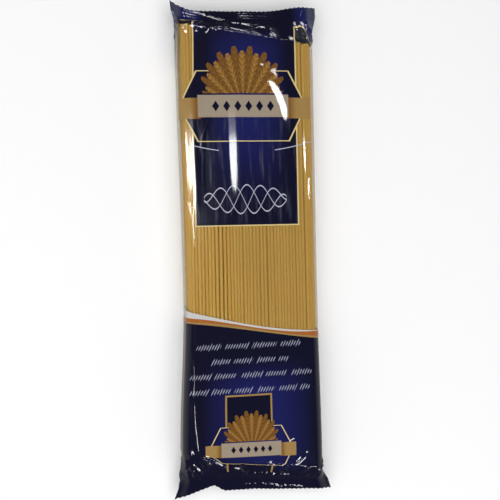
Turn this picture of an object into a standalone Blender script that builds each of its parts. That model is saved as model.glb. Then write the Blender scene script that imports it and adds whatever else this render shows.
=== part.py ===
"""Sealed film pack of dry spaghetti, lying on its back.

The pack is one closed solid out to the film: a bundle of long strands makes the
body, a box with rounded edges and a crowned front. Past each slanted end of the
bundle the film tapers to a heat-sealed fin, whose corners stand out as ears.

Metres, +Z up. +Y runs along the strands to the top of the pack, +X to its right,
and the origin is at the bottom centre of the whole pack's box.
"""

import math

import bmesh
import bpy
from mathutils import Vector

# The bundle of strands, which the film is drawn tight around.
STRAND_LENGTH = 0.252
BUNDLE_SLANT = 0.006  # each end reaches this much up at the left and down at the right
BODY_HALF_WIDTH = 0.0393
WAIST_Y = -0.030  # the body is narrowest here, a little below its middle
TOP_SPREAD = {"left": 0.0017, "right": 0.0007}  # extra half width at the top of the pack
BOTTOM_SPREAD = {"left": 0.0040, "right": 0.0008}  # and near the bottom, where the film is slack
SIDE_HEIGHT = 0.0228
CROWN = 0.0016  # how far the front rises in the middle
FRONT_RADIUS = 0.0060
BACK_RADIUS = 0.0050
PRESSED = 0.0006  # how much of the back the table pushes flat

# The end seals. Their height is above the table.
FIN_THICKNESS = 0.0008
FIN_DEPTH = 0.0065
SHOULDER_REACH = 0.0025  # how far the film runs straight on past the strands
PLEAT_DEPTH = 0.0005  # the film gathers in pleats on its way to a seal
PLEAT_COUNT = 7
TOP_SEAL = {
    "edge_y": 0.1410, "half_width": 0.0441, "inner_half_width": 0.0438,
    "edge_z": 0.0145, "inner_z": 0.0168,
}
BOTTOM_SEAL = {
    "edge_y": -0.1442, "half_width": 0.0480, "inner_half_width": 0.0456,
    "edge_z": 0.0120, "inner_z": 0.0146,
}
TOP_LEFT_EAR = 0.0068  # how far each ear reaches past the middle of the seal's edge
TOP_RIGHT_EAR = 0.0030
BOTTOM_RIGHT_EAR = 0.0027
BOTTOM_LEFT_EAR = 0.0035
EAR_LENGTH = 0.0150  # along the seal
EAR_DROOP = 0.0020  # how far the bottom left ear hangs
NOTCH_X = -0.0251  # the bottom fin is folded here, and its left end swings down
NOTCH_DEPTH = 0.0035
NOTCH_REACH = 0.0080

# How finely the film is divided.
AROUND = 72
BODY_RINGS = 12
SHOULDER_RINGS = 9
FIN_RINGS = 3


def smooth_step(value, start, end):
    """0 before start, 1 after end, and a smooth ramp between them."""
    share = min(max((value - start) / (end - start), 0.0), 1.0)
    return share * share * (3.0 - 2.0 * share)


def body_half_width(across, y):
    """Half the body's width, which grows from the waist to each end of the strands."""
    side = "left" if across < 0.0 else "right"
    wider_top = TOP_SPREAD[side] * smooth_step(y, WAIST_Y, STRAND_LENGTH / 2.0)
    wider_bottom = BOTTOM_SPREAD[side] * smooth_step(-y, -WAIST_Y, STRAND_LENGTH / 2.0)
    return BODY_HALF_WIDTH + wider_top + wider_bottom


def half_section(across, half_width, height, radius):
    """A point on half of the rounded box, as x and height above its middle.

    across runs from 1 at the right side, over the flat, to -1 at the left side,
    evenly along the film.
    """
    flat = half_width - radius
    arc = math.pi / 2.0 * radius
    upright = height - radius
    distance = abs(across) * (flat + arc + upright)
    if distance <= flat:
        x, z = distance, height
    elif distance <= flat + arc:
        angle = (distance - flat) / radius
        x = flat + radius * math.sin(angle)
        z = upright + radius * math.cos(angle)
    else:
        x, z = half_width, upright - (distance - flat - arc)
    return math.copysign(x, across), z


def body_point(across, front, y):
    """A point on the film round the strands. front is True on the upper half."""
    middle = SIDE_HEIGHT / 2.0
    half_width = body_half_width(across, y)
    if front:
        x, rise = half_section(across, half_width, middle, FRONT_RADIUS)
        crown = CROWN * (1.0 - (x / half_width) ** 2) * rise / middle
        return Vector((x, y, middle + rise + crown))
    x, drop = half_section(across, half_width, middle + PRESSED, BACK_RADIUS)
    return Vector((x, y, max(middle - drop, 0.0)))


def strand_end_y(x, end):
    """Where the strands stop at x. end is 1 at the top of the pack and -1 at its bottom."""
    return end * STRAND_LENGTH / 2.0 - BUNDLE_SLANT * x / BODY_HALF_WIDTH


def ear_shift(x, end):
    """How far the seal at x is carried along Y and Z, where its ends stand out in ears."""
    if end > 0:
        tip = TOP_SEAL["half_width"]
        left = TOP_LEFT_EAR * max(-x - tip + EAR_LENGTH, 0.0) / EAR_LENGTH
        right = TOP_RIGHT_EAR * smooth_step(x, 0.010, tip - EAR_LENGTH / 2.0)
        return Vector((0.0, left * left / TOP_LEFT_EAR + right, 0.0))
    tip = BOTTOM_SEAL["half_width"]
    if x < NOTCH_X:
        share = (NOTCH_X - x) / (NOTCH_X + tip)
        along = NOTCH_DEPTH - (BOTTOM_LEFT_EAR + NOTCH_DEPTH) * share
        return Vector((0.0, along, -EAR_DROOP * share))
    notch = NOTCH_DEPTH * (1.0 - smooth_step(x, NOTCH_X, NOTCH_X + NOTCH_REACH))
    return Vector((0.0, notch - BOTTOM_RIGHT_EAR * max(x, 0.0) / tip, 0.0))


def seal_point(across, front, end, outward):
    """A point on the fin. outward is 0 at the seal's inner line and 1 at the cut edge."""
    seal = TOP_SEAL if end > 0 else BOTTOM_SEAL
    half_width = seal["inner_half_width"] + (seal["half_width"] - seal["inner_half_width"]) * outward
    x = across * half_width
    y = seal["edge_y"] - end * FIN_DEPTH * (1.0 - outward)
    z = seal["inner_z"] + (seal["edge_z"] - seal["inner_z"]) * outward
    to_tip = (1.0 - abs(across)) * half_width
    layer = min(FIN_THICKNESS / 2.0, to_tip)
    return Vector((x, y, z + (layer if front else -layer))) + ear_shift(x, end)


def shoulder_point(across, front, end, share):
    """A point between the strands' end and the seal: straight on at first, then down to the fin."""
    x, _, _ = body_point(across, front, end * STRAND_LENGTH / 2.0)
    start = body_point(across, front, strand_end_y(x, end))
    finish = seal_point(across, front, end, 0.0)
    reach = min(SHOULDER_REACH, abs(finish.y - start.y) / 2.0)
    bend = start + Vector((0.0, end * reach, 0.0))
    rest = 1.0 - share
    point = start * rest * rest + bend * 2.0 * rest * share + finish * share * share
    pleat = PLEAT_DEPTH * math.cos(math.pi * PLEAT_COUNT * across)
    point.z += pleat * math.sin(math.pi * share) ** 2 * (1.0 if front else -1.0)
    return point


def pack_point(across, front, ring):
    """The film's point on one ring, counted from the bottom fin's edge to the top fin's edge."""
    last = ring_count() - 1
    end = 1 if ring > last / 2 else -1
    from_edge = last - ring if end > 0 else ring
    if from_edge < FIN_RINGS:
        return seal_point(across, front, end, 1.0 - from_edge / FIN_RINGS)
    if from_edge < FIN_RINGS + SHOULDER_RINGS:
        share = 1.0 - (from_edge - FIN_RINGS) / SHOULDER_RINGS
        return shoulder_point(across, front, end, share)
    along = (ring - FIN_RINGS - SHOULDER_RINGS) / (BODY_RINGS - 1)
    x, _, _ = body_point(across, front, 0.0)
    low, high = strand_end_y(x, -1), strand_end_y(x, 1)
    return body_point(across, front, low + (high - low) * along)


def ring_count():
    return 2 * (FIN_RINGS + SHOULDER_RINGS) + BODY_RINGS


def make_pack_mesh():
    """A capped tube with one ring of points for each station, drawn out to the pack's shape."""
    shape = bmesh.new()
    bmesh.ops.create_cone(
        shape, cap_ends=True, segments=AROUND, radius1=1.0, radius2=1.0, depth=1.0,
    )
    lengthways = [edge for edge in shape.edges if abs(edge.verts[0].co.z - edge.verts[1].co.z) > 0.5]
    bmesh.ops.subdivide_edges(shape, edges=lengthways, cuts=ring_count() - 2, use_grid_fill=True)
    for corner in shape.verts:
        ring = round((corner.co.z + 0.5) * (ring_count() - 1))
        turn = math.atan2(corner.co.y, corner.co.x) / math.pi
        front = turn > 0.0
        corner.co = pack_point(1.0 - 2.0 * abs(turn), front, ring)
    bmesh.ops.recalc_face_normals(shape, faces=shape.faces)
    mesh = bpy.data.meshes.new("spaghetti_pack")
    shape.to_mesh(mesh)
    shape.free()
    return mesh


def stand_on_origin(mesh):
    """Moves the mesh so that the bottom centre of its box is the origin."""
    corners = [corner.co.copy() for corner in mesh.vertices]
    low = Vector([min(co[axis] for co in corners) for axis in range(3)])
    high = Vector([max(co[axis] for co in corners) for axis in range(3)])
    for corner in mesh.vertices:
        corner.co -= Vector(((low.x + high.x) / 2.0, (low.y + high.y) / 2.0, low.z))


def film_material():
    """Glossy film over golden strands, as one middle colour for the whole solid."""
    material = bpy.data.materials.new("printed_film")
    material.use_nodes = True
    shader = material.node_tree.nodes["Principled BSDF"]
    shader.inputs["Base Color"].default_value = (0.40, 0.25, 0.06, 1.0)
    shader.inputs["Roughness"].default_value = 0.2
    shader.inputs["Metallic"].default_value = 0.0
    return material


def main():
    for old in list(bpy.data.objects):
        bpy.data.objects.remove(old)
    collection = bpy.data.collections.new("spaghetti_pack")
    bpy.context.scene.collection.children.link(collection)
    mesh = make_pack_mesh()
    stand_on_origin(mesh)
    mesh.materials.append(film_material())
    pack = bpy.data.objects.new("spaghetti_pack", mesh)
    collection.objects.link(pack)
    mesh.shade_smooth()
    mesh.set_sharp_from_angle(angle=math.radians(40.0))


main()
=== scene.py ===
"""Film pack of dry spaghetti, lying on its back: the strands, the printed film and its back seam.

Metres, +Z up. +Y runs along the strands to the top of the pack and +X to its right. The film
is described by flat coordinates: u runs round the pack from the middle of its front, and v
runs along it. Both are also the film's UV map, in metres.
"""

import math

import bmesh
import bpy
import numpy as np
from mathutils import Matrix, Vector, noise


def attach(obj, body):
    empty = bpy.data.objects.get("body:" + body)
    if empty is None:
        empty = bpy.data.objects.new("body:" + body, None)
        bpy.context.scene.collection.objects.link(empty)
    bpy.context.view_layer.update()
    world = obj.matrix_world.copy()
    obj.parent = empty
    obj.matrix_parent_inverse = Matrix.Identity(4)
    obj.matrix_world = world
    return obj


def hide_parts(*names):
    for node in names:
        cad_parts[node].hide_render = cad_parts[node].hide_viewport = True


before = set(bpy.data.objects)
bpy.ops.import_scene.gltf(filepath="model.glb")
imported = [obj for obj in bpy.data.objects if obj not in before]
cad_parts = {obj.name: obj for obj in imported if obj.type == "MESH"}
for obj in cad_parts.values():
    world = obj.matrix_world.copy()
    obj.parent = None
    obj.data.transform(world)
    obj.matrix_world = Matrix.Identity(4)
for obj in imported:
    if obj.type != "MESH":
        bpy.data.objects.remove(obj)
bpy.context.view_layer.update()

PACK_NODE = "spaghetti_pack"

bl_info = {
    "name": "Spaghetti pack",
    "version": (1, 0, 0),
    "blender": (4, 5, 0),
    "location": "View3D > Sidebar > Spaghetti",
    "description": "A sealed film pack of dry spaghetti with its strands, print and seams",
    "category": "Add Mesh",
}

# The frame's shape, which the film follows.
STRAND_LENGTH = 0.252
BUNDLE_SLANT = 0.006
BODY_HALF_WIDTH = 0.0393
WAIST_Y = -0.030
TOP_SPREAD = {"left": 0.0017, "right": 0.0007}
BOTTOM_SPREAD = {"left": 0.0040, "right": 0.0008}
SIDE_HEIGHT = 0.0228
FRONT_RADIUS = 0.0060
BACK_RADIUS = 0.0050
PRESSED = 0.0006
FIN_DEPTH = 0.0065
SHOULDER_REACH = 0.0025
PLEAT_DEPTH = 0.0005
PLEAT_COUNT = 7
TOP_SEAL = {
    "edge_y": 0.1418, "half_width": 0.0441, "inner_half_width": 0.0438,
    "edge_z": 0.0145, "inner_z": 0.0168,
}
BOTTOM_SEAL = {
    "edge_y": -0.1455, "half_width": 0.0480, "inner_half_width": 0.0456,
    "edge_z": 0.0120, "inner_z": 0.0146,
}
TOP_LEFT_EAR = 0.0074
TOP_RIGHT_EAR = 0.0030
BOTTOM_RIGHT_EAR = 0.0027
BOTTOM_LEFT_EAR = 0.0048
EAR_LENGTH = 0.0150
EAR_DROOP = 0.0020
NOTCH_X = -0.0251
NOTCH_DEPTH = 0.0035
NOTCH_REACH = 0.0080
CURL_DROP = 0.0034  # the ends of a seal curl down
CURL_REACH = 0.0085

# The flat film.
FLAT_HALF = 0.0483  # from the middle of the front to the fold at a side
FILM_TOP = 0.1500
FILM_BOTTOM = -0.1530
FIN_LAYER = 0.00012  # half the thickness of a seal
SEAM_ROOM = 0.0004  # the back stands this far off the table, on its seam
FLOOR_GAP = 0.0001  # between the table and the lowest film
FILM_CLEARANCE = 0.00012  # between the strands and the film
# Where neighbouring strands of the front stand apart, and by how much of a strand's thickness.
OPEN_GAPS = {
    -0.0302: 0.07, -0.0278: 0.10, -0.0228: 0.13, -0.0200: 0.10, -0.0173: 0.20, -0.0152: 0.08,
    0.0026: 0.10, 0.0067: 0.07, 0.0087: 0.08, 0.0313: 0.22,
}
PRESSED_TOGETHER = 0.11  # how far neighbours press into each other, as a share of their thickness
CHANCE_GAP = 0.23  # the most that chance adds between two neighbours, as such a share
SUNK_SHARE = 0.20  # of the outer strands, which lie deeper than the rest
RIGHT_SLACK = 0.0008  # the film stands out this much further on the right
SIDE_ROOM = 0.0012  # between the strands and the film at each side
BUNDLE_SPREAD = 0.45  # how much of the film's widening the strands follow
REST_CROWN = 0.0011  # the crown where the film lies on the strands, under the frame's by its slack
RIB_COUNT = 4  # crimped into each end seal


# ---------------------------------------------------------------- settings


def length(name, description, default):
    """A property for a length in metres."""
    return bpy.props.FloatProperty(
        name=name, description=description, default=default, unit="LENGTH", precision=5,
    )


def colour(name, description, default):
    """A property for a colour in linear light."""
    return bpy.props.FloatVectorProperty(
        name=name, description=description, default=default,
        subtype="COLOR", size=3, min=0.0, max=1.0,
    )


class StrandSettings(bpy.types.PropertyGroup):
    diameter: length("Diameter", "Thickness of one strand", 0.00205)
    count: bpy.props.IntProperty(name="Count", description="Number of strands", default=420, min=50)
    ragged: length("Ragged ends", "How unevenly the strands lie lengthways", 0.0008)
    pale: colour("Pale pasta", "Colour of the palest strands", (0.490, 0.300, 0.062))
    deep: colour("Deep pasta", "Colour of the deepest strands", (0.400, 0.228, 0.038))


class FilmSettings(bpy.types.PropertyGroup):
    around: bpy.props.IntProperty(
        name="Columns", description="Divisions round the pack", default=288, min=64,
    )
    crumple: length("Crumple", "Height of the creases near the seals", 0.0007)
    slack: length("Slack", "How far the film lifts off the strands", 0.00012)
    rib: length("Crimp height", "Height of the ribs of the end seals", 0.00002)
    tooth: length("Tooth pitch", "Width of one tooth of the cut edges", 0.0027)
    seam_width: length("Back seam", "Width of the seam that lies along the back", 0.011)


class PrintColours(bpy.types.PropertyGroup):
    night: colour("Night blue", "Darkest ink", (0.0040, 0.0040, 0.0160))
    blue: colour("Blue", "Ink in the glow behind the ornaments", (0.0085, 0.0110, 0.0850))
    # Painted sheen: a paler grey-blue laid on the ink of the ears and in faint streaks over the upper panel, standing
    # in for the film's reflections there.
    painted_sheen: colour("Sheen blue", "Ink on the creased ears", (0.050, 0.053, 0.090))
    gold: colour("Gold", "Outlines", (0.600, 0.470, 0.220))
    bronze: colour("Bronze", "Ends of the band and the lower frame", (0.300, 0.185, 0.060))
    tan: colour("Tan", "Band across the plaque", (0.290, 0.235, 0.175))
    amber: colour("Amber", "Light petals", (0.330, 0.165, 0.036))
    brown: colour("Brown", "Dark petals and band ends", (0.180, 0.080, 0.016))
    orange: colour("Orange", "Middle stripe", (0.330, 0.100, 0.020))
    white: colour("White", "Upper stripe", (0.505, 0.490, 0.475))
    silver: colour("Silver", "Fine pale ornaments", (0.420, 0.430, 0.520))
    script: colour("Grains", "Rows of small grains", (0.270, 0.280, 0.360))
    # Partly real haze on the side film and partly painted light: a pale tint that stands in for the lit floor seen
    # through the film at the sides.
    edge: colour("Cloudy edge", "Film that stands off the strands at the sides", (0.780, 0.700, 0.540))
    # Also the colour of the painted glow and of the painted fill light and shade laid over the strands.
    haze: colour("Haze", "Dust and bloom on the clear film", (0.450, 0.290, 0.075))


class StageSettings(bpy.types.PropertyGroup):
    distance: length("Camera distance", "From the camera to the middle of the pack", 0.60)
    turn: bpy.props.FloatProperty(
        name="Camera turn", description="How far the camera stands to the pack's left",
        default=math.radians(9.0), subtype="ANGLE",
    )
    roll: bpy.props.FloatProperty(
        name="Camera roll", description="How far the pack's top leans left in the view",
        default=math.radians(1.4), subtype="ANGLE",
    )
    lens: bpy.props.FloatProperty(
        name="Lens", description="Focal length in millimetres on a 36 mm sensor", default=71.9,
    )
    floor: colour("Floor", "Colour of the floor", (0.86, 0.86, 0.86))


# ---------------------------------------------------------------- the film's shape


def smooth_step(value, start, end):
    """0 before start, 1 after end, and a smooth ramp between them."""
    share = np.clip((value - start) / (end - start), 0.0, 1.0)
    return share * share * (3.0 - 2.0 * share)


def body_half_width(across, y):
    """Half the body's width, which grows from the waist to each end of the strands."""
    left = across < 0.0
    top = np.where(left, TOP_SPREAD["left"], TOP_SPREAD["right"])
    bottom = np.where(left, BOTTOM_SPREAD["left"], BOTTOM_SPREAD["right"])
    wider_top = top * smooth_step(y, WAIST_Y, STRAND_LENGTH / 2.0)
    wider_bottom = bottom * smooth_step(-y, -WAIST_Y, STRAND_LENGTH / 2.0)
    return BODY_HALF_WIDTH + wider_top + wider_bottom + np.where(left, 0.0, RIGHT_SLACK)


def half_section(across, half_width, height, radius):
    """x, and height above the middle, on half of a rounded box. across is even along the film."""
    flat = half_width - radius
    arc = math.pi / 2.0 * radius
    upright = height - radius
    distance = np.abs(across) * (flat + arc + upright)
    angle = np.clip((distance - flat) / radius, 0.0, math.pi / 2.0)
    x = np.minimum(distance, flat) + radius * np.sin(angle)
    z = upright + radius * np.cos(angle) - np.maximum(distance - flat - arc, 0.0)
    return np.copysign(x, across), z


def body_points(across, front, y):
    """Points of the film round the strands."""
    middle = SIDE_HEIGHT / 2.0
    half_width = body_half_width(across, y)
    x, rise = half_section(across, half_width, middle, FRONT_RADIUS)
    crown = REST_CROWN * (1.0 - (x / half_width) ** 2) * rise / middle
    upper = np.stack([x, y, middle + rise + crown], axis=-1)
    x, drop = half_section(across, half_width, middle + PRESSED, BACK_RADIUS)
    lower = np.stack([x, y, np.maximum(middle - drop, SEAM_ROOM)], axis=-1)
    return np.where(front[..., None], upper, lower)


def strand_end(x, end):
    """Where the strands stop at x, with end 1 at the top of the pack and -1 at its bottom."""
    return end * STRAND_LENGTH / 2.0 - BUNDLE_SLANT * x / BODY_HALF_WIDTH


def ear_shift(x, end):
    """How far the seal at x is carried along Y and Z, where its ends stand out in ears."""
    tip = TOP_SEAL["half_width"]
    left = TOP_LEFT_EAR * np.maximum(-x - tip + EAR_LENGTH, 0.0) / EAR_LENGTH
    right = TOP_RIGHT_EAR * smooth_step(x, 0.010, tip - EAR_LENGTH / 2.0)
    top = left * left / TOP_LEFT_EAR + right
    tip = BOTTOM_SEAL["half_width"]
    folded = (NOTCH_X - x) / (NOTCH_X + tip)
    hanging = NOTCH_DEPTH - (BOTTOM_LEFT_EAR + NOTCH_DEPTH) * folded
    notch = NOTCH_DEPTH * (1.0 - smooth_step(x, NOTCH_X, NOTCH_X + NOTCH_REACH))
    bottom = np.where(x < NOTCH_X, hanging, notch - BOTTOM_RIGHT_EAR * np.maximum(x, 0.0) / tip)
    droop = -EAR_DROOP * np.clip(folded, 0.0, 1.0)
    return np.where(end > 0, top, bottom), np.where(end > 0, 0.0, droop)


def seal_points(across, front, end, outward, film):
    """Points of an end seal. outward is 0 at its inner line and 1 at the cut edge."""
    inner = np.where(end > 0, TOP_SEAL["inner_half_width"], BOTTOM_SEAL["inner_half_width"])
    outer = np.where(end > 0, TOP_SEAL["half_width"], BOTTOM_SEAL["half_width"])
    x = across * (inner + (outer - inner) * outward)
    edge_y = np.where(end > 0, TOP_SEAL["edge_y"], BOTTOM_SEAL["edge_y"])
    inner_z = np.where(end > 0, TOP_SEAL["inner_z"], BOTTOM_SEAL["inner_z"])
    edge_z = np.where(end > 0, TOP_SEAL["edge_z"], BOTTOM_SEAL["edge_z"])
    ear_y, ear_z = ear_shift(x, end)
    tooth = np.abs((x / film.tooth) % 1.0 - 0.5) * film.tooth * 0.5
    y = edge_y + ear_y - end * (FIN_DEPTH * (1.0 - outward) + tooth * smooth_step(outward, 0.9, 1.0))
    ribs = film.rib * np.sin(2.0 * math.pi * outward * RIB_COUNT)
    layer = np.minimum(FIN_LAYER, (1.0 - np.abs(across)) * outer) * (outward < 1.0)
    to_tip = (1.0 - np.abs(across)) * outer
    curl = CURL_DROP * (1.0 - smooth_step(to_tip, 0.0, CURL_REACH)) * np.where((end > 0) & (x > 0.0), 0.6, 1.0)
    z = inner_z + (edge_z - inner_z) * outward + ear_z + fin_wave(x, outward, end) + ribs - curl
    z = z + seal_folds(across, outward, end)
    return np.stack([x, y, z + np.where(front, layer, -layer)], axis=-1)


def fin_wave(x, outward, end):
    """The slow waves of an end seal, which grow towards its cut edge."""
    wave = np.sin(x * 165.0 + 0.8 * end) * 0.0003 + np.sin(x * 390.0 + 2.0 * end) * 0.00015
    return wave * smooth_step(outward, 0.0, 1.0)


def seal_folds(across, outward, end):
    """Creases that run out across the top seal from the film below it."""
    u = across * FLAT_HALF
    v = end * (FILM_TOP - FIN_DEPTH * (1.0 - outward))
    height = np.zeros_like(u)
    for points in (
        ((-0.0345, 0.1500), (-0.0228, 0.1466), (-0.0150, 0.1445), (-0.0054, 0.1424)),
        ((-0.0420, 0.1520), (-0.0395, 0.1425)), ((0.0400, 0.1510), (0.0372, 0.1430)),
        ((-0.0130, -0.1468), (0.0040, -0.1462), (0.0160, -0.1478), (0.0360, -0.1482)),
    ):
        height += crease(u, v, points, 0.00030, 0.0012)
    return height * crinkled(u, v, 2.6)


def film_points(u, v, film):
    """Points of the smooth film at flat coordinates u and v, which may be arrays."""
    front = np.abs(u) <= FLAT_HALF
    across = np.where(front, u, np.copysign(2.0 * FLAT_HALF - np.abs(u), u)) / FLAT_HALF
    end = np.where(v > 0.0, 1.0, -1.0)
    seal_v = np.where(v > 0.0, FILM_TOP, -FILM_BOTTOM) - FIN_DEPTH
    x = body_points(across, front, np.zeros_like(v))[..., 0]
    limit = strand_end(x, end)
    start = body_points(across, front, np.where(v > 0.0, np.minimum(v, limit), np.maximum(v, limit)))
    share = np.clip((np.abs(v) - np.abs(limit)) / (seal_v - np.abs(limit)), 0.0, 1.0)
    outward = np.clip((np.abs(v) - seal_v) / FIN_DEPTH, 0.0, 1.0)
    finish = seal_points(across, front, end, outward, film)
    bend = start.copy()
    bend[..., 1] += end * np.minimum(SHOULDER_REACH, np.abs(finish[..., 1] - start[..., 1]) / 2.0)
    rest = 1.0 - share
    weights = rest * rest, 2.0 * rest * share, share * share
    points = sum(weight[..., None] * point for weight, point in zip(weights, (start, bend, finish)))
    pleat = PLEAT_DEPTH * np.cos(math.pi * PLEAT_COUNT * across) * np.sin(math.pi * share) ** 2
    points[..., 2] += np.where(front, pleat, -pleat)
    return points


# ---------------------------------------------------------------- creases


def crease(u, v, points, height, width, sharpness=4.0):
    """Height of a crease with its crest along the points, which fades out at both ends.

    The sharper it is, the nearer its ends the fading starts.
    """
    nearest = np.full_like(u, np.inf)
    place = np.zeros_like(u)
    travelled = 0.0
    for start, end in zip(points, points[1:]):
        step = math.dist(start, end)
        ahead = ((end[0] - start[0]) / step, (end[1] - start[1]) / step)
        along = np.clip((u - start[0]) * ahead[0] + (v - start[1]) * ahead[1], 0.0, step)
        aside = np.hypot(u - start[0] - along * ahead[0], v - start[1] - along * ahead[1])
        nearer = aside < nearest
        nearest = np.where(nearer, aside, nearest)
        place = np.where(nearer, travelled + along, place)
        travelled += step
    fade = 1.0 - np.abs(2.0 * place / travelled - 1.0) ** sharpness
    return height * fade * np.cos(np.minimum(nearest / width, 1.0) * math.pi / 2.0) ** 2


def arc_points(centre, radius, start, end, count=14):
    """Points along an arc. start and end are in degrees."""
    turns = [math.radians(start + (end - start) * step / count) for step in range(count + 1)]
    return [(centre[0] + radius * math.cos(turn), centre[1] + radius * math.sin(turn)) for turn in turns]


def crinkled(u, v, depth):
    """About 1, and uneven from one millimetre to the next, which breaks up a crease's gleam."""
    uneven = [noise.noise(Vector((a * 900.0, b * 900.0, 4.0))) for a, b in zip(u, v)]
    return 1.0 + depth * np.array(uneven)


def scattered_creases(seed, count, side, height):
    """Random creases near both seals of one side of the pack, as crease arguments."""
    random = np.random.default_rng(seed)
    creases = []
    for _ in range(count):
        end = random.choice((-1.0, 1.0))
        u = random.uniform(-0.046, 0.046)
        edge = FILM_TOP if end > 0 else -FILM_BOTTOM
        far = edge - FIN_DEPTH - random.uniform(0.0, 0.004)
        near = far - random.uniform(0.006, 0.018)
        lean = random.normal(0.0, 0.007)
        span = (u + lean, end * near), (u, end * far)
        if side < 0:
            span = tuple((math.copysign(2.0 * FLAT_HALF, a) - a, b) for a, b in span)
        creases.append((span, height * random.uniform(-0.8, 1.0), random.uniform(0.0010, 0.0024)))
    return creases


def crease_height(u, v, film):
    """How far the creases move the film outwards."""
    height = np.zeros_like(u)
    for span in scattered_creases(11, 90, 1, film.crumple) + scattered_creases(12, 90, -1, film.crumple):
        height += crease(u, v, *span)
    top_folds = (
        (((-0.0160, 0.1430), (-0.0054, 0.1412), (0.0026, 0.1394), (0.0138, 0.1386)), 0.0011, 0.0019),
        (((0.0120, 0.1390), (0.0170, 0.1355)), 0.0007, 0.0016),
        (((-0.0240, 0.1265), (-0.0176, 0.1325), (-0.0094, 0.1340), (-0.0012, 0.1320)), 0.0007, 0.0020),
        (((-0.0020, 0.1322), (0.0044, 0.1315), (0.0120, 0.1240)), 0.0007, 0.0020),
        (((-0.0440, 0.1450), (-0.0400, 0.1300)), 0.0008, 0.0020),
        (((0.0320, 0.1420), (0.0390, 0.1270)), 0.0008, 0.0020),
        (((0.0400, 0.1430), (0.0430, 0.1260)), 0.0007, 0.0020),
    )
    bottom_folds = (
        (((-0.0356, -0.0600), (-0.0344, -0.0740), (-0.0334, -0.0900)), 0.0010, 0.0016),
        (((-0.0304, -0.1190), (-0.0290, -0.1260), (-0.0262, -0.1370)), 0.0010, 0.0018),
        (((0.0180, -0.1150), (0.0224, -0.1128)), 0.0006, 0.0014),
        (((0.0284, -0.1130), (0.0292, -0.1230)), 0.0006, 0.0013),
        (((0.0225, -0.1290), (0.0282, -0.1240)), 0.0006, 0.0015),
        (((0.0160, -0.1330), (0.0215, -0.1300)), 0.0006, 0.0014),
        (((-0.0100, -0.1420), (0.0040, -0.1408), (0.0160, -0.1422), (0.0330, -0.1432)), 0.0008, 0.0016),
        (((-0.0300, -0.1260), (-0.0180, -0.1370), (-0.0060, -0.1385)), 0.0007, 0.0020),
        (((-0.0400, -0.1290), (-0.0420, -0.1420)), 0.0008, 0.0022),
    )
    for fold in top_folds + bottom_folds:
        height += crease(u, v, *fold)
    return height * crinkled(u, v, 0.7)


def slack_height(u, v, film):
    """How far the film lifts off the strands along the body: shallow waves and a few broad swells."""
    wave = np.array([noise.noise(Vector((a * 95.0, b * 9.0, 3.0))) for a, b in zip(u, v)])
    fine = np.array([noise.noise(Vector((a * 330.0, b * 22.0, 9.0))) for a, b in zip(u, v)])
    height = film.slack * (0.5 + 0.5 * wave + 0.12 * fine)
    swells = (
        (((-0.0322, 0.1000), (-0.0320, 0.0500), (-0.0316, 0.0220)), 0.00050, 0.0070),
        (((-0.0058, 0.1020), (-0.0055, 0.0680), (-0.0050, 0.0440), (-0.0042, 0.0240)), 0.00062, 0.0085),
        (((0.0256, 0.0690), (0.0252, 0.0775), (0.0238, 0.0845), (0.0212, 0.0915), (0.0178, 0.0975), (0.0122, 0.1052)),
         0.00128, 0.0074, 3.0),
        (((0.0058, 0.1078), (0.0116, 0.1042)), 0.00040, 0.0034, 2.0),
        (((0.0332, 0.0740), (0.0336, 0.0560), (0.0338, 0.0400)), 0.00060, 0.0021),
        (((0.0358, 0.0460), (0.0360, 0.0240)), 0.00110, 0.0020),
        (((-0.0370, 0.0300), (-0.0370, -0.0300)), 0.00026, 0.0065),
        (((-0.0338, -0.0860), (-0.0331, -0.0988), (-0.0313, -0.1144), (-0.0306, -0.1200)), 0.00100, 0.0036),
        (((-0.0326, -0.0980), (-0.0311, -0.1144), (-0.0300, -0.1220), (-0.0285, -0.1340)), 0.00130, 0.0054),
        (((-0.0190, 0.0880), (-0.0225, 0.0780), (-0.0262, 0.0690), (-0.0283, 0.0600), (-0.0290, 0.0450)),
         0.00040, 0.0024),
    )
    for swell in swells:
        height = np.maximum(height, crease(u, v, *swell))
    return height


def tip_height(u, v, film):
    """The strands' tips, which show through as a row of small bumps where the film bends."""
    end = np.where(v > 0.0, 1.0, -1.0)
    past = np.abs(v) - np.abs(strand_end(u, end))
    uneven = np.array([noise.noise(Vector((a * 480.0, 0.0, b))) for a, b in zip(u, end)])
    tall = np.where(v > 0.0, 0.00035, 0.00007)
    return tall * (0.6 + uneven) * np.exp(-((past - 0.001 - 0.002 * uneven) / 0.0012) ** 2)


def film_rows():
    """The film's v at each row of the mesh: close together at the seals and wider along the body."""
    spans = (
        (FILM_BOTTOM, FILM_BOTTOM + FIN_DEPTH, 16), (FILM_BOTTOM + FIN_DEPTH, -0.1080, 64),
        (-0.1080, 0.0700, 80), (0.0700, 0.1080, 38),
        (0.1080, FILM_TOP - FIN_DEPTH, 60), (FILM_TOP - FIN_DEPTH, FILM_TOP, 16),
    )
    rows = [np.linspace(start, end, count, endpoint=False) for start, end, count in spans]
    return np.concatenate([*rows, [FILM_TOP]])


def object_from(bm, name, material):
    """A smooth-shaded object from a bmesh, which is freed."""
    mesh = bpy.data.meshes.new(name)
    bm.to_mesh(mesh)
    bm.free()
    mesh.materials.append(material)
    mesh.shade_smooth()
    piece = bpy.data.objects.new(name, mesh)
    bpy.context.scene.collection.objects.link(piece)
    return piece


def flat_sheet(columns, rows):
    """A bmesh grid on the unit square with a UV map named film, still flat."""
    bm = bmesh.new()
    layer = bm.loops.layers.uv.new("film")
    bmesh.ops.create_grid(bm, x_segments=columns, y_segments=rows, size=0.5)
    return bm, layer


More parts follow.
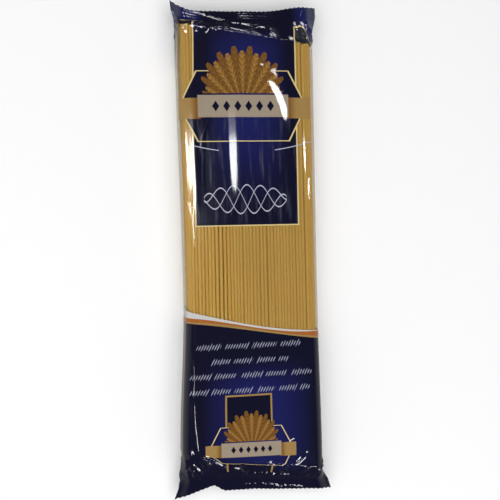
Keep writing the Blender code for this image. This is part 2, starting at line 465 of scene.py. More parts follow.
def wrap_sheet(bm, layer, u_of, v_of, shape):
    """Gives each point of a flat sheet its flat film coordinates, and its place from shape."""
    bm.verts.ensure_lookup_table()
    flat = np.array([corner.co[:2] for corner in bm.verts]) + 0.5
    u, v = u_of(flat[:, 0]), v_of(flat[:, 1])
    for face in bm.faces:
        for loop in face.loops:
            loop[layer].uv = (u[loop.vert.index], v[loop.vert.index])
    for corner, place in zip(bm.verts, shape(u, v)):
        corner.co = place
    return u, v


def make_film(settings, material):
    """The bag: one sheet wrapped round, closed along its back and at both cut edges."""
    film = settings
    rows = film_rows()
    bm, layer = flat_sheet(film.around, len(rows) - 1)
    u, v = wrap_sheet(
        bm, layer,
        lambda share: (share * 2.0 - 1.0) * 2.0 * FLAT_HALF,
        lambda share: rows[np.rint(share * (len(rows) - 1)).astype(int)],
        lambda u, v: film_points(u, v, film),
    )
    bm.normal_update()
    body = 1.0 - smooth_step(np.abs(v), 0.118, 0.128)
    seal = np.where(v > 0.0, FILM_TOP, -FILM_BOTTOM) - FIN_DEPTH
    loose = 1.0 - smooth_step(np.abs(v), seal - 0.003, seal)
    seam = smooth_step(2.0 * FLAT_HALF - np.abs(u), 0.010, 0.016)
    under = np.where(np.abs(u) > FLAT_HALF * 1.25, 0.15, 1.0)
    lift = body * slack_height(u, v, film) * under
    lift += loose * (crease_height(u, v, film) * (1.0 - 0.7 * body) + tip_height(u, v, film))
    lift *= seam
    lift = np.maximum(lift, -0.0010 * (1.0 - body))
    for corner, height in zip(bm.verts, lift):
        corner.co += corner.normal * height
        corner.co.z = max(corner.co.z, FLOOR_GAP)
    bmesh.ops.remove_doubles(bm, verts=bm.verts, dist=0.000002)
    if bm.calc_volume(signed=True) < 0.0:
        bmesh.ops.reverse_faces(bm, faces=bm.faces)
    return object_from(bm, "film_bag", material)


def make_seam(settings, material):
    """The back seam: both edges of the film sealed together and folded flat on the back."""
    film = settings
    rows = film_rows()[4:-4]
    bm, layer = flat_sheet(14, len(rows) - 1)

    def shape(u, v):
        from_fold = 2.0 * FLAT_HALF - u
        points = film_points(u, v, film)
        drop = 0.00014 + 0.00010 * np.sin(from_fold / 0.0016 * math.pi) ** 2 * (from_fold > 0.001)
        points[:, 2] = np.maximum(points[:, 2] - drop, FLOOR_GAP)
        return points

    wrap_sheet(
        bm, layer,
        lambda share: 2.0 * FLAT_HALF - share * film.seam_width,
        lambda share: rows[np.rint(share * (len(rows) - 1)).astype(int)],
        shape,
    )
    bmesh.ops.recalc_face_normals(bm, faces=bm.faces)
    bmesh.ops.solidify(bm, geom=bm.faces[:], thickness=0.00006)
    bmesh.ops.recalc_face_normals(bm, faces=bm.faces)
    return object_from(bm, "back_seam", material)


# ---------------------------------------------------------------- strands


def bundle_outline(y):
    """The film's inner outline round the strands at y, as points and inward directions in X and Z."""
    turn = np.linspace(-2.0, 2.0, 480, endpoint=False)
    front = np.abs(turn) <= 1.0
    across = np.where(front, turn, np.copysign(2.0 - np.abs(turn), turn))
    points = body_points(across, front, np.full_like(turn, y * BUNDLE_SPREAD))[:, [0, 2]]
    points[:, 0] *= 1.0 - SIDE_ROOM / BODY_HALF_WIDTH
    ahead = np.roll(points, -1, axis=0) - np.roll(points, 1, axis=0)
    inward = np.stack([ahead[:, 1], -ahead[:, 0]], axis=-1)
    inward /= np.linalg.norm(inward, axis=1)[:, None]
    return points, inward


def strand_track(y, diameter):
    """The line round the bundle on which strands touch the film at y.

    It comes as points, inward directions and the distance travelled up to each, and it is closed.
    """
    outline, inward = bundle_outline(y)
    points = outline + inward * (diameter / 2.0 + FILM_CLEARANCE)
    points = np.vstack([points, points[:1]])
    steps = np.linalg.norm(np.diff(points, axis=0), axis=1)
    return points, np.vstack([inward, inward[:1]]), np.concatenate([[0.0], np.cumsum(steps)])


def on_track(track, at, depth):
    """The places at these distances along a track, sunk in from it by their depths."""
    points, inward, travelled = track
    at = at % travelled[-1]
    return np.stack([
        np.interp(at, travelled, points[:, axis]) + np.interp(at, travelled, inward[:, axis]) * depth
        for axis in (0, 1)
    ], axis=-1)


def outer_places(y, turns, depths, diameter):
    """Where the outer strands lie at y: side by side against the film, each at its share of the turn."""
    track = strand_track(y, diameter)
    return on_track(track, turns % 1.0 * track[2][-1], depths)


def outer_strands(diameter, random):
    """Each outer strand's share of the way round the bundle, and how far it sinks in from the film.

    Neighbours press together a little, and a sunk strand lies partly under them. A few gaps are wider.
    """
    track = strand_track(0.0, diameter)
    places, depths = [], []
    at, depth = 0.0, 0.0
    while at < track[2][-1]:
        places.append(at)
        depths.append(depth)
        here = on_track(track, at, depth)
        sunk = random.random() < SUNK_SHARE
        depth = diameter * (random.uniform(0.08, 0.24) if sunk else random.uniform(0.0, 0.05))
        gap = CHANCE_GAP * random.random() ** 5 - PRESSED_TOGETHER
        if here[1] > SIDE_HEIGHT / 2.0:
            gap += sum(wide for place, wide in OPEN_GAPS.items() if abs(here[0] - place) < diameter / 2.0)
        at += diameter / 2.0
        while np.linalg.norm(on_track(track, at, depth) - here) < diameter * (1.0 + gap):
            at += diameter / 200.0
    return np.array(places) / at, np.array(depths)


def settle(core, outer, y, diameter, rounds):
    """Pushes the core's strands apart, inside the outer ones, which stay where they are."""
    outline, inward = bundle_outline(y)
    count = len(core)
    for _ in range(rounds):
        places = np.vstack([core, outer])
        gap = core[:, None, :] - places[None, :, :]
        distance = np.linalg.norm(gap, axis=2)
        distance[np.arange(count), np.arange(count)] = 1.0
        overlap = np.maximum(diameter - distance, 0.0)
        share = np.where(np.arange(len(places)) < count, 0.45, 0.90)
        core = core + (gap * (overlap / distance * share)[:, :, None]).sum(axis=1)
        nearest = np.linalg.norm(core[:, None, :] - outline[None, ::4, :], axis=2).argmin(axis=1) * 4
        depth = ((core - outline[nearest]) * inward[nearest]).sum(axis=1)
        push = np.maximum(diameter * 1.25 - depth, 0.0)
        core = core + push[:, None] * inward[nearest]
    return core


def strand_paths(strands, random):
    """The X and Z of every strand at the bottom, middle and top of the bundle, the outer strands last."""
    turns, depths = outer_strands(strands.diameter, random)
    reach = BODY_HALF_WIDTH - 2.0 * strands.diameter
    count = strands.count - len(turns)
    start = np.stack([
        random.uniform(-reach, reach, count), random.uniform(0.003, SIDE_HEIGHT - 0.003, count),
    ], axis=-1)
    outer = outer_places(0.0, turns, depths, strands.diameter)
    core = settle(start, outer, 0.0, strands.diameter, 220)
    slices = [np.vstack([core, outer])]
    for end in (-1.0, 1.0):
        y = end * STRAND_LENGTH / 2.0
        shift = np.array([noise.noise(Vector((turn * 17.0, 4.0 * end, 0.0))) for turn in turns])
        moved = outer_places(y, turns + shift * 0.0045, depths, strands.diameter)
        drift = np.array([
            [noise.noise(Vector((x * 100.0, z * 100.0, 5.0 * end + other))) for other in (0.0, 20.0)]
            for x, z in core
        ])
        slices.append(np.vstack([settle(core + drift * 0.0008, moved, y, strands.diameter, 60), moved]))
    return slices[1], slices[0], slices[2]


def strand_template(strands):
    """One strand along Z about the origin, as a mesh."""
    bm = bmesh.new()
    radius = strands.diameter / 2.0
    bmesh.ops.create_cone(
        bm, cap_ends=True, segments=12, radius1=radius, radius2=radius, depth=STRAND_LENGTH,
    )
    lengthways = [edge for edge in bm.edges if edge.calc_length() > STRAND_LENGTH / 2.0]
    bmesh.ops.subdivide_edges(bm, edges=lengthways, cuts=1, use_grid_fill=True)
    mesh = bpy.data.meshes.new("strand_template")
    bm.to_mesh(mesh)
    bm.free()
    return mesh


def make_strands(strands, material):
    """The bundle: a copy of the template for each strand, laid along its own path."""
    random = np.random.default_rng(7)
    low, middle, high = strand_paths(strands, random)
    template = strand_template(strands)
    bm = bmesh.new()
    for _ in range(strands.count):
        bm.from_mesh(template)
    one = np.array([corner.co for corner in template.vertices])
    along = one[:, 2] / (STRAND_LENGTH / 2.0)
    weights = np.maximum(-along, 0.0), 1.0 - np.abs(along), np.maximum(along, 0.0)
    slide = np.clip(random.normal(0.0, strands.ragged, strands.count), -0.0009, 0.0009)
    tone = random.uniform(0.0, 1.0, strands.count)
    bm.verts.ensure_lookup_table()
    attribute = bm.verts.layers.float.new("tone")
    for index in range(strands.count):
        path = sum(
            weight[:, None] * place[index] for weight, place in zip(weights, (low, middle, high))
        )
        x = path[:, 0] + one[:, 0]
        z = path[:, 1] + one[:, 1]
        y = one[:, 2] - BUNDLE_SLANT * middle[index, 0] / BODY_HALF_WIDTH
        y = y + slide[index]
        for corner, place in zip(bm.verts[index * len(one):(index + 1) * len(one)], zip(x, y, z)):
            corner.co = place
            corner[attribute] = tone[index]
    bmesh.ops.recalc_face_normals(bm, faces=bm.faces)
    bpy.data.meshes.remove(template)
    bundle = object_from(bm, "spaghetti_strands", material)
    bundle.data.set_sharp_from_angle(angle=math.radians(50.0))
    return bundle


# ---------------------------------------------------------------- material helpers


class Field:
    """A number that varies over a surface. Arithmetic on it adds math nodes."""

    def __init__(self, tree, socket):
        self.tree = tree
        self.socket = socket

    def math(self, operation, *others, clamp=False):
        node = self.tree.nodes.new("ShaderNodeMath")
        node.operation = operation
        node.use_clamp = clamp
        for socket, value in zip(node.inputs, (self, *others)):
            if isinstance(value, Field):
                self.tree.links.new(value.socket, socket)
            else:
                socket.default_value = value
        return Field(self.tree, node.outputs[0])

    def __add__(self, other):
        return self.math("ADD", other)

    def __sub__(self, other):
        return self.math("SUBTRACT", other)

    def __mul__(self, other):
        return self.math("MULTIPLY", other)

    def __truediv__(self, other):
        return self.math("DIVIDE", other)

    def __rsub__(self, other):
        return self * -1.0 + other

    def __abs__(self):
        return self.math("ABSOLUTE")

    __radd__ = __add__
    __rmul__ = __mul__

    def squared(self):
        return self * self

    def root(self):
        return self.math("SQRT")

    def power(self, exponent):
        return self.math("POWER", exponent)

    def sine(self):
        return self.math("SINE")

    def repeat(self, pitch):
        """The distance from the middle of the repeat that this point lies in."""
        return self.math("FLOORED_MODULO", pitch) - pitch / 2.0

    def least(self, other):
        return self.math("MINIMUM", other)

    def most(self, other):
        return self.math("MAXIMUM", other)

    def clamped(self):
        return self.math("ADD", 0.0, clamp=True)

    def ramp(self, start, end):
        """0 where this is start, 1 where it is end, and a smooth ramp between them."""
        node = self.tree.nodes.new("ShaderNodeMapRange")
        node.interpolation_type = "SMOOTHSTEP"
        self.tree.links.new(self.socket, node.inputs["Value"])
        node.inputs["From Min"].default_value = start
        node.inputs["From Max"].default_value = end
        return Field(self.tree, node.outputs["Result"])


def inside(distance, soft=0.00014):
    """1 where a distance to an outline is negative and 0 where it is positive."""
    return distance.math("MULTIPLY_ADD", -1.0 / soft, 0.5, clamp=True)


def within(value, low, high):
    """1 where value lies between low and high."""
    return inside(abs(value - (low + high) / 2.0) - (high - low) / 2.0)


def noise_field(tree, vector, scale, stretch=(1.0, 1.0, 1.0), detail=2.0):
    """Smooth noise between about 0 and 1 on coordinates that are stretched first."""
    mapping = tree.nodes.new("ShaderNodeMapping")
    mapping.inputs["Scale"].default_value = stretch
    tree.links.new(vector, mapping.inputs["Vector"])
    texture = tree.nodes.new("ShaderNodeTexNoise")
    texture.inputs["Scale"].default_value = scale
    texture.inputs["Detail"].default_value = detail
    tree.links.new(mapping.outputs["Vector"], texture.inputs["Vector"])
    return Field(tree, texture.outputs["Fac"])


def new_tree(name):
    """An empty node material with its output node."""
    material = bpy.data.materials.new(name)
    material.use_nodes = True
    tree = material.node_tree
    tree.nodes.clear()
    return material, tree, tree.nodes.new("ShaderNodeOutputMaterial")


def mixed_colour(tree, mask, below, above):
    """The colour below, or the colour above where the mask is 1."""
    node = tree.nodes.new("ShaderNodeMix")
    node.data_type = "RGBA"
    tree.links.new(mask.socket, node.inputs["Factor"])
    for socket, value in zip((node.inputs[6], node.inputs[7]), (below, above)):
        if isinstance(value, bpy.types.NodeSocket):
            tree.links.new(value, socket)
        else:
            socket.default_value = (*value, 1.0)
    return node.outputs[2]


def mixed_shader(tree, mask, below, above):
    """The shader below, or the shader above where the mask is 1."""
    node = tree.nodes.new("ShaderNodeMixShader")
    tree.links.new(mask.socket, node.inputs["Fac"])
    tree.links.new(below, node.inputs[1])
    tree.links.new(above, node.inputs[2])
    return node.outputs["Shader"]


class Print:
    """The ink on the film: its colour, and how much of the film it covers."""

    def __init__(self, tree, place):
        split = tree.nodes.new("ShaderNodeSeparateXYZ")
        tree.links.new(place, split.inputs["Vector"])
        self.tree = tree
        self.place = place
        self.u = Field(tree, split.outputs["X"])
        self.v = Field(tree, split.outputs["Y"])
        self.ink = None
        self.cover = None
        self.ground = None

    def paint(self, colour, mask):
        """Lays one ink over what is there."""
        if self.ink is None:
            self.ink, self.cover = colour, mask
            return
        self.ink = mixed_colour(self.tree, mask, self.ink, colour)
        self.cover = self.cover.most(mask)


# ---------------------------------------------------------------- the print


def stripe_line(u, left, right, sag, sway):
    """The v of a stripe's edge between its ends at the folds.

    sag lowers its middle, and sway lifts its left half and lowers its right half.
    """
    share = (u / (2.0 * FLAT_HALF) + 0.5).clamped()
    bow = share * (1.0 - share)
    return left + (right - left) * share + bow * ((1.0 - share * 2.0) * sway - 4.0 * sag)


def draw_fields(art, colours):
    """The navy areas, their blue glow, and the windows that are left clear between them."""
    v = art.v
    left_side = inside(art.u)
    narrowing = v.ramp(0.1260, 0.1440) * (0.11 - 0.08 * left_side)
    u = art.u * (1.0 - narrowing) - 0.0017 * v.ramp(0.0500, 0.1350) * left_side
    aside = abs(u)
    back = inside(0.060 - aside)
    left_top = (0.1369 + 0.97 * (u + 0.0410)).least(0.1431) - 0.010 * (u * -1.0).ramp(0.0410, 0.0450)
    right_top = 0.1379 - 0.0135 * u.ramp(0.0335, 0.0390)
    window_top = left_top * left_side + right_top * (1.0 - left_side)
    panel = inside(abs(u + 0.0022) - 0.0304) * inside(0.0130 - v)
    swoosh = stripe_line(u, -0.0431, -0.0560, -0.0004, 0.0062)
    covered = panel.most(inside(window_top - v)).most(inside(v - swoosh)).most(back)
    upper = (1.0 - ((u + 0.001) / 0.024).squared()).clamped() * v.ramp(0.020, 0.075) * v.ramp(0.139, 0.112)
    lower = (1.0 - ((u - 0.002) / 0.032).squared()).clamped() * v.ramp(-0.062, -0.088) * v.ramp(-0.142, -0.118)
    corner = aside.ramp(0.0270, 0.0340) * v.ramp(0.1200, 0.1330) * 0.8
    art.ground = mixed_colour(art.tree, upper.most(lower).most(corner), colours.night, colours.blue)
    # Painted sheen on the ears: their outer parts take a paler grey-blue ink in place of the film's reflections.
    painted_sheen = abs(art.u).ramp(0.0405, 0.0440) * v.ramp(0.1280, 0.1370)
    # Painted sheen: faint lengthwise streaks of paler ink on the upper panel, in place of the film's soft reflections.
    painted_sheen_streaks = noise_field(art.tree, art.place, 300.0, (1.0, 0.10, 1.0), 4.0).ramp(0.48, 0.80)
    painted_sheen_streaks = painted_sheen_streaks * v.ramp(0.0900, 0.0650) * v.ramp(0.0100, 0.0200)
    art.ground = mixed_colour(art.tree, painted_sheen.most(painted_sheen_streaks), art.ground, colours.painted_sheen)
    art.paint(art.ground, covered)
    line = 0.0008
    frame_line = inside(abs(abs(u + 0.0022) - 0.0304) - line / 2.0)
    frame_line = frame_line * inside(0.0125 - v) * inside(v - window_top - line / 2.0)
    foot = inside(abs(v - 0.0130) - line / 2.0) * inside(abs(u + 0.0022) - 0.0310)
    heads = inside(abs(window_top - v) - line / 2.0) * within(aside, 0.0285, 0.0395)
    heads = heads * (1.0 - inside(abs(u + 0.0022) - 0.0304))
    art.paint(colours.gold, frame_line.most(foot).most(heads))


def draw_stripes(art, colours):
    """White, orange and gold stripes over the lower field."""
    lines = (
        (-0.0343, -0.0500, 0.0037, 0.0058), (-0.0402, -0.0494, 0.0023, 0.0178),
        (-0.0430, -0.0539, -0.0005, 0.0135), (-0.0431, -0.0560, -0.0004, 0.0062),
    )
    edges = [stripe_line(art.u, *line) for line in lines]
    front = inside(abs(art.u) - 0.0600)
    for ink, top, bottom in zip((colours.white, colours.orange, colours.bronze), edges, edges[1:]):
        art.paint(ink, inside(art.v - top) * inside(bottom - art.v) * front)


def draw_plaque(art, colours, centre, size):
    """A six-sided plaque with a gold outline, a fan of petals behind it and a band across it."""
    across = (art.u - centre[0]) / size
    up = (art.v - centre[1]) / size
    outline = (abs(up) / 0.56).most(abs(across) + abs(up) * 0.5) - 1.0
    soft = 0.00014 / size
    art.paint(art.ground, inside(outline, soft))
    art.paint(colours.gold, inside(abs(outline + 0.013) - 0.013, soft))
    radius = (across.squared() + (up + 0.05).squared()).root()
    angle = across.math("ARCTAN2", up + 0.05)
    above = inside(0.20 - up, soft)
    for turn, reach, ink in ((0.0, 1.00, colours.brown), (0.13, 0.92, colours.amber)):
        petal = (angle + turn).repeat(0.26)
        along = radius / (reach - 0.24 * angle.squared())
        belly = (1.0 - ((along - 0.60) / 0.42).squared()).clamped().root()
        mask = inside(abs(petal) - 0.088 * belly, soft * 1.5) * within(along, 0.20, 1.0)
        rib = 0.5 + 0.5 * (along * 62.0 - abs(petal) * 70.0).sine()
        shade = (abs(petal) / 0.16 + rib * 0.45).clamped()
        art.paint(mixed_colour(art.tree, shade, ink, colours.brown_dim), mask * above * inside(abs(angle) - 1.20, soft))
    band = inside(abs(across) - 0.70, soft) * inside(abs(up) - 0.175, soft)
    ends = inside(abs(abs(across) - 0.86) - 0.20, soft) * inside(abs(up + 0.035) - 0.165, soft)
    art.paint(mixed_colour(art.tree, abs(across).ramp(0.70, 0.84), colours.brown, colours.bronze), ends)
    art.paint(colours.tan, band)
    lozenge = abs(across.repeat(0.17)) / 0.055 + abs(up) / 0.085 - 1.0
    art.paint(colours.night, inside(lozenge, 0.03) * inside(abs(across) - 0.51, soft))


def draw_flourishes(art, colours):
    """Fine pale lines: a pair of shallow arcs, and a plait of three waves below them."""
    u, v = art.u, art.v
    arc = 0.0625 - 0.0062 * (1.0 - ((u + 0.0015) / 0.0385).squared())
    arcs = inside(abs(v - arc) - 0.00025) * within(abs(u + 0.0015), 0.0165, 0.0385)
    art.paint(colours.silver, arcs)
    envelope = (1.0 - ((u + 0.003) / 0.0245).squared()).clamped().root()
    for phase in (0.0, 2.1, 4.2):
        wave = 0.0285 + 0.0085 * envelope * (u * 260.0 + phase).sine()
        art.paint(colours.silver, inside(abs(v - wave) - 0.00036) * inside(abs(u + 0.003) - 0.0243))


def draw_grains(art, colours):
    """Four rows of small slanted grains, in groups, on the lower field."""
    rows = (
        (-0.0577, -0.0346, 0.0274, 0.0163), (-0.0665, -0.0260, 0.0199, 0.0131),
        (-0.0750, -0.0386, 0.0336, 0.0147), (-0.0840, -0.0382, 0.0322, 0.0127),
    )
    level = art.v - 0.018 * art.u
    for height, left, right, word in rows:
        across = art.u - 0.50 * (level - height)
        tall = 0.0013 + 0.0009 * ((across * 1900.0).sine() * (across * 730.0 + height * 900.0).sine()).squared()
        grain = (across.repeat(0.00155) / 0.00032).squared() + ((level - height) / tall).squared() - 1.0
        group = inside(abs((across - left).repeat(word)) - word / 2.0 + 0.0012)
        art.paint(colours.script, inside(grain, 0.8) * within(art.u, left, right) * group)


def draw_frame(art, colours):
    """A gold frame that stands behind the lower plaque."""
    across = abs(art.u + 0.0037) - 0.0134
    down = art.v - 0.015 * art.u + 0.0865
    outline = across.most(down)
    art.paint(colours.night, inside(outline) * inside(-0.1400 - art.v))
    art.paint(colours.bronze, inside(abs(outline + 0.0005) - 0.0005) * inside(-0.1400 - art.v))


def draw_back(art, colours):
    """Plain ruled boxes on the back, either side of its seam."""
    aside = abs(art.u)
    box = within(aside, 0.0640, 0.0860) * within(art.v, -0.0900, 0.0100)
    rules = inside(abs(art.v.repeat(0.0055)) - 0.00015)
    art.paint(mixed_colour(art.tree, rules, colours.tan, colours.night), box)


# ---------------------------------------------------------------- materials


def film_material(name, colours, film):
    """Glossy printed film that is clear where there is no ink."""
    material, tree, output = new_tree(name)
    uv = tree.nodes.new("ShaderNodeUVMap")
    uv.uv_map = "film"
    art = Print(tree, uv.outputs["UV"])
    draw_fields(art, colours)
    draw_stripes(art, colours)
    draw_flourishes(art, colours)
    draw_plaque(art, colours, (-0.0030, 0.0835), 0.0375)
    draw_grains(art, colours)
    draw_frame(art, colours)
    draw_plaque(art, colours, (-0.0025, -0.1190), 0.0242)
    draw_back(art, colours)
    haze = noise_field(tree, uv.outputs["UV"], 70.0, (1.0, 0.35, 1.0), 4.0).ramp(0.35, 0.85)
    streak = noise_field(tree, uv.outputs["UV"], 420.0, (1.0, 0.04, 1.0), 2.0)
    # At the sides the film takes a pale cover: partly real haze, partly painted light in place of the lit floor seen
    # through it.
    gusset = abs(art.u).ramp(0.0385, 0.0440) * abs(art.u).ramp(0.0640, 0.0560)
    # Painted glow: a pasta-coloured patch on the clear film below the upper panel, in place of a dim reflection there.
    painted_glow = (1.0 - ((art.u + 0.0040) / 0.0150).squared() - ((art.v - 0.0010) / 0.0170).squared()).clamped()
    # Painted light and shade: a pasta-coloured layer over the right side fills in the shade between the strands, and
    # over the upper part it dulls the strands as if shaded.
    painted_fill_and_shade = art.u.ramp(-0.0180, 0.0060).most(art.v.ramp(0.0500, 0.0850)) * 0.20
    beyond = inside(0.1265 - art.v - art.u * (BUNDLE_SLANT / BODY_HALF_WIDTH), 0.002)
    # Dust on the clear film, together with the painted glow, the painted fill and shade, and the pale side cover.
    dust_and_painted_light = (0.02 + haze * 0.04 + painted_fill_and_shade + painted_glow * 0.08) * (1.0 - beyond) + gusset * (0.22 + streak * 0.26)
    cover = art.cover.most(dust_and_painted_light)
    clear_tint = mixed_colour(tree, gusset, colours.haze, colours.edge)
    ink = mixed_colour(tree, art.cover, clear_tint, art.ink)
    crumple = noise_field(tree, uv.outputs["UV"], 260.0, (1.0, 0.8, 1.0), 3.0)
    loose = abs(art.v).ramp(0.115, 0.140)
    spark = noise_field(tree, uv.outputs["UV"], 1300.0, (1.0, 1.0, 1.0), 1.0)
    bump = tree.nodes.new("ShaderNodeBump")
    bump.inputs["Distance"].default_value = 0.0002
    bump.inputs["Strength"].default_value = 0.35
    tree.links.new((crumple * (0.15 + loose) + streak * 0.35 + spark * loose * 0.90).socket, bump.inputs["Height"])
    surface = tree.nodes.new("ShaderNodeBsdfPrincipled")
    surface.inputs["Roughness"].default_value = 0.5
    surface.inputs["Specular IOR Level"].default_value = 0.0
    tree.links.new(ink, surface.inputs["Base Color"])
    clear = tree.nodes.new("ShaderNodeBsdfTransparent")
    gloss = tree.nodes.new("ShaderNodeBsdfGlossy")
    gloss.inputs["Roughness"].default_value = 0.085
    for shader in (surface, gloss):
        tree.links.new(bump.outputs["Normal"], shader.inputs["Normal"])
    fresnel = tree.nodes.new("ShaderNodeFresnel")
    fresnel.inputs["IOR"].default_value = 1.4
    tree.links.new(bump.outputs["Normal"], fresnel.inputs["Normal"])
    geometry = tree.nodes.new("ShaderNodeNewGeometry")
    shine = Field(tree, fresnel.outputs["Fac"]) * (1.0 - Field(tree, geometry.outputs["Backfacing"]))
    body = mixed_shader(tree, cover, clear.outputs["BSDF"], surface.outputs["BSDF"])
    tree.links.new(mixed_shader(tree, shine, body, gloss.outputs["BSDF"]), output.inputs["Surface"])
    return material


def pasta_material(strands):
    """Dry durum pasta: matt, with a tone of its own for each strand, faint length streaks and flecks."""
    material, tree, output = new_tree("dry_pasta")
    coords = tree.nodes.new("ShaderNodeTexCoord").outputs["Object"]
    attribute = tree.nodes.new("ShaderNodeAttribute")
    attribute.attribute_name = "tone"
    tone = Field(tree, attribute.outputs["Fac"])
    streak = noise_field(tree, coords, 900.0, (1.0, 0.05, 1.0), 3.0)
    cloud = noise_field(tree, coords, 60.0, (1.0, 0.3, 1.0), 2.0)
    fleck = noise_field(tree, coords, 2600.0, (1.0, 0.5, 1.0), 1.0).ramp(0.68, 0.80)
    depth = (tone * 0.30 + streak * 0.35 + cloud * 0.35 + fleck * 0.25 - 0.1).clamped()
    shader = tree.nodes.new("ShaderNodeBsdfPrincipled")
    shader.inputs["Specular IOR Level"].default_value = 0.08
    shader.inputs["Subsurface Weight"].default_value = 0.75
    shader.inputs["Subsurface Radius"].default_value = (1.0, 0.62, 0.25)
    shader.inputs["Subsurface Scale"].default_value = 0.0030
    tree.links.new(mixed_colour(tree, depth, strands.pale, strands.deep), shader.inputs["Base Color"])
    tree.links.new((0.42 + streak * 0.18).socket, shader.inputs["Roughness"])
    bump = tree.nodes.new("ShaderNodeBump")
    bump.inputs["Distance"].default_value = 0.00004
    bump.inputs["Strength"].default_value = 0.5
    tree.links.new((streak + fleck * 0.4).socket, bump.inputs["Height"])
    tree.links.new(bump.outputs["Normal"], shader.inputs["Normal"])
    tree.links.new(shader.outputs["BSDF"], output.inputs["Surface"])
    return material


def floor_material(tint):
    """Plain matt floor with a faint mottle."""
    material, tree, output = new_tree("floor")
    coords = tree.nodes.new("ShaderNodeTexCoord").outputs["Object"]
    shade = noise_field(tree, coords, 6.0)
    shader = tree.nodes.new("ShaderNodeBsdfPrincipled")
    shader.inputs["Roughness"].default_value = 0.8
    shader.inputs["Specular IOR Level"].default_value = 0.2
    dim = tuple(channel * 0.985 for channel in tint)
    tree.links.new(mixed_colour(tree, shade, tint, dim), shader.inputs["Base Color"])
    tree.links.new(shader.outputs["BSDF"], output.inputs["Surface"])
    return material


class Inks:
    """The print's colours as plain tuples."""

    def __init__(self, group):
        for key in group.bl_rna.properties.keys():
            if key not in {"rna_type", "name"}:
                setattr(self, key, tuple(getattr(group, key)))
        self.brown_dim = tuple(channel * 0.5 for channel in self.brown)


# ---------------------------------------------------------------- stage


def area_light(name, place, target, size, power, gleam=False):
    """A rectangular lamp that faces the target. A gleam shows only as a reflection."""
    data = bpy.data.lights.new(name, "AREA")
    data.shape = "RECTANGLE"
    data.size, data.size_y = size
    data.energy = power
    lamp = bpy.data.objects.new(name, data)
    lamp.location = place
    direction = Vector(target) - Vector(place)
    lamp.rotation_euler = direction.to_track_quat("-Z", "Y").to_euler()
    lamp.visible_camera = False
    lamp.visible_diffuse = not gleam
    lamp.visible_glossy = gleam
    bpy.context.scene.collection.objects.link(lamp)
    return lamp


def make_sky():
    """A soft sky, dim overhead and bright towards the sides, with the floor's light straight below."""
    world = bpy.data.worlds.new("soft_sky")
    bpy.context.scene.world = world
    world.use_nodes = True
    tree = world.node_tree
    tree.nodes.clear()
    coords = tree.nodes.new("ShaderNodeTexCoord")
    split = tree.nodes.new("ShaderNodeSeparateXYZ")
    tree.links.new(coords.outputs["Generated"], split.inputs["Vector"])
    height = Field(tree, split.outputs["Z"])
    aside = abs(Field(tree, split.outputs["X"]))
    bright = height.ramp(0.75, 0.10) * aside.ramp(0.25, 0.80)
    shade = mixed_colour(tree, bright, (0.11, 0.11, 0.12), (0.95, 0.94, 0.92))
    shade = mixed_colour(tree, height.ramp(-0.80, -0.95), shade, (0.50, 0.455, 0.375))
    background = tree.nodes.new("ShaderNodeBackground")
    tree.links.new(shade, background.inputs["Color"])
    output = tree.nodes.new("ShaderNodeOutputWorld")
    tree.links.new(background.outputs["Background"], output.inputs["Surface"])


def make_camera(stage):
    """The camera over the pack, a little to its left."""
    aim = Vector((0.0006, -0.0015, 0.0130))
    back = Vector((-math.sin(stage.turn), 0.0, math.cos(stage.turn)))
    level = Vector((math.cos(stage.turn), 0.0, math.sin(stage.turn)))
    lengthways = Vector((0.0, 1.0, 0.0))
    right = level * math.cos(stage.roll) - lengthways * math.sin(stage.roll)
    up = level * math.sin(stage.roll) + lengthways * math.cos(stage.roll)
    data = bpy.data.cameras.new("camera")
    data.sensor_width = 36.0
    data.lens = stage.lens
    data.clip_start = 0.01
    camera = bpy.data.objects.new("camera", data)
    camera.matrix_world = Matrix((right, up, back)).transposed().to_4x4()
    camera.location = aim + back * stage.distance
    bpy.context.scene.collection.objects.link(camera)
    bpy.context.scene.camera = camera


def make_floor(tint):
    """The floor under the pack."""
    bm = bmesh.new()
    bmesh.ops.create_grid(bm, x_segments=1, y_segments=1, size=3.0)
    floor = object_from(bm, "floor", floor_material(tint))
    floor.visible_glossy = False
    return floor


# ---------------------------------------------------------------- operators


def settings():
    return bpy.context.scene.spaghetti_pack


class SpaghettiPackSettings(bpy.types.PropertyGroup):
    strands: bpy.props.PointerProperty(type=StrandSettings)
    film: bpy.props.PointerProperty(type=FilmSettings)
    inks: bpy.props.PointerProperty(type=PrintColours)
    stage: bpy.props.PointerProperty(type=StageSettings)


class SPAGHETTI_OT_strands(bpy.types.Operator):
    """Make the bundle of dry strands"""
    bl_idname = "spaghetti.strands"
    bl_label = "Strands"

    def execute(self, context):
        strands = settings().strands
        bundle = make_strands(strands, pasta_material(strands))
        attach(bundle, "root")
        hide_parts(PACK_NODE)
        return {"FINISHED"}


class SPAGHETTI_OT_film(bpy.types.Operator):
    """Make the printed film bag and the seam along its back"""
    bl_idname = "spaghetti.film"
    bl_label = "Film and back seam"

    def execute(self, context):
        film = settings().film
        material = film_material("printed_film", Inks(settings().inks), film)
        for piece in (make_film(film, material), make_seam(film, material)):
            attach(piece, "root")
            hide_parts(PACK_NODE)
        return {"FINISHED"}


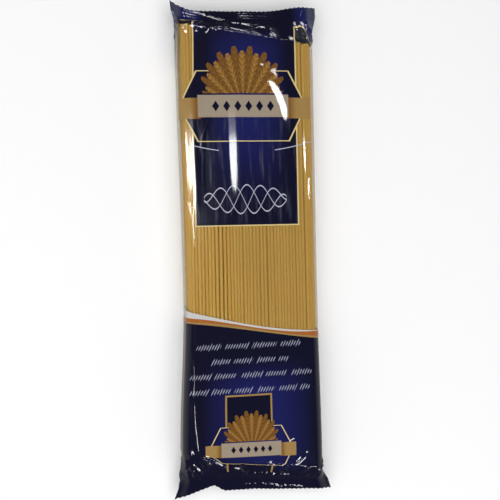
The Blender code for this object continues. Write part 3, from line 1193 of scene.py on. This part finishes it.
class SPAGHETTI_OT_stage(bpy.types.Operator):
    """Make the floor, the lights and the camera"""
    bl_idname = "spaghetti.stage"
    bl_label = "Stage"

    def execute(self, context):
        stage = settings().stage
        make_camera(stage)
        make_sky()
        make_floor(tuple(stage.floor))
        area_light("softbox", (-0.100, -0.250, 1.000), (0.0, 0.0, 0.0), (1.800, 1.800), 20.0)
        area_light("top_strip", (-0.180, 0.087, 0.550), (-0.180, 0.087, 0.0), (0.300, 0.070), 2.95, True)
        area_light("near_strip", (-0.070, 0.031, 0.550), (-0.070, 0.031, 0.0), (0.080, 0.042), 0.47, True)
        area_light("dim_strip", (-0.180, 0.137, 0.550), (-0.180, 0.137, 0.0), (0.300, 0.030), 0.13, True)
        area_light("left_strip", (-0.520, 0.0950, 0.440), (-0.034, 0.0550, 0.022), (0.065, 0.460), 4.00, True)
        area_light("low_strip", (-0.250, -0.190, 0.500), (-0.250, -0.190, 0.0), (0.040, 0.160), 0.80, True)
        area_light("head_strip", (0.060, 0.455, 0.550), (0.0, 0.130, 0.022), (0.300, 0.190), 5.20, True)
        area_light("foot_strip", (0.270, -0.440, 0.550), (0.0, -0.130, 0.022), (0.200, 0.220), 5.00, True)
        context.scene.view_settings.view_transform = "Standard"
        return {"FINISHED"}


class SPAGHETTI_PT_panel(bpy.types.Panel):
    """Buttons for the pack's pieces, with their sizes and colours"""
    bl_idname = "SPAGHETTI_PT_panel"
    bl_label = "Spaghetti pack"
    bl_space_type = "VIEW_3D"
    bl_region_type = "UI"
    bl_category = "Spaghetti"

    def draw(self, context):
        groups = settings()
        for group, operator in (
            (groups.strands, SPAGHETTI_OT_strands), (groups.film, SPAGHETTI_OT_film),
            (groups.inks, None), (groups.stage, SPAGHETTI_OT_stage),
        ):
            box = self.layout.box()
            for key in group.bl_rna.properties.keys():
                if key not in {"rna_type", "name"}:
                    box.prop(group, key)
            if operator:
                box.operator(operator.bl_idname)


CLASSES = (
    StrandSettings, FilmSettings, PrintColours, StageSettings, SpaghettiPackSettings,
    SPAGHETTI_OT_strands, SPAGHETTI_OT_film, SPAGHETTI_OT_stage, SPAGHETTI_PT_panel,
)


def register():
    for item in CLASSES:
        bpy.utils.register_class(item)
    bpy.types.Scene.spaghetti_pack = bpy.props.PointerProperty(type=SpaghettiPackSettings)


def unregister():
    del bpy.types.Scene.spaghetti_pack
    for item in reversed(CLASSES):
        bpy.utils.unregister_class(item)


def main():
    register()
    bpy.ops.spaghetti.strands()
    bpy.ops.spaghetti.film()
    bpy.ops.spaghetti.stage()


if __name__ == "__main__":
    main()
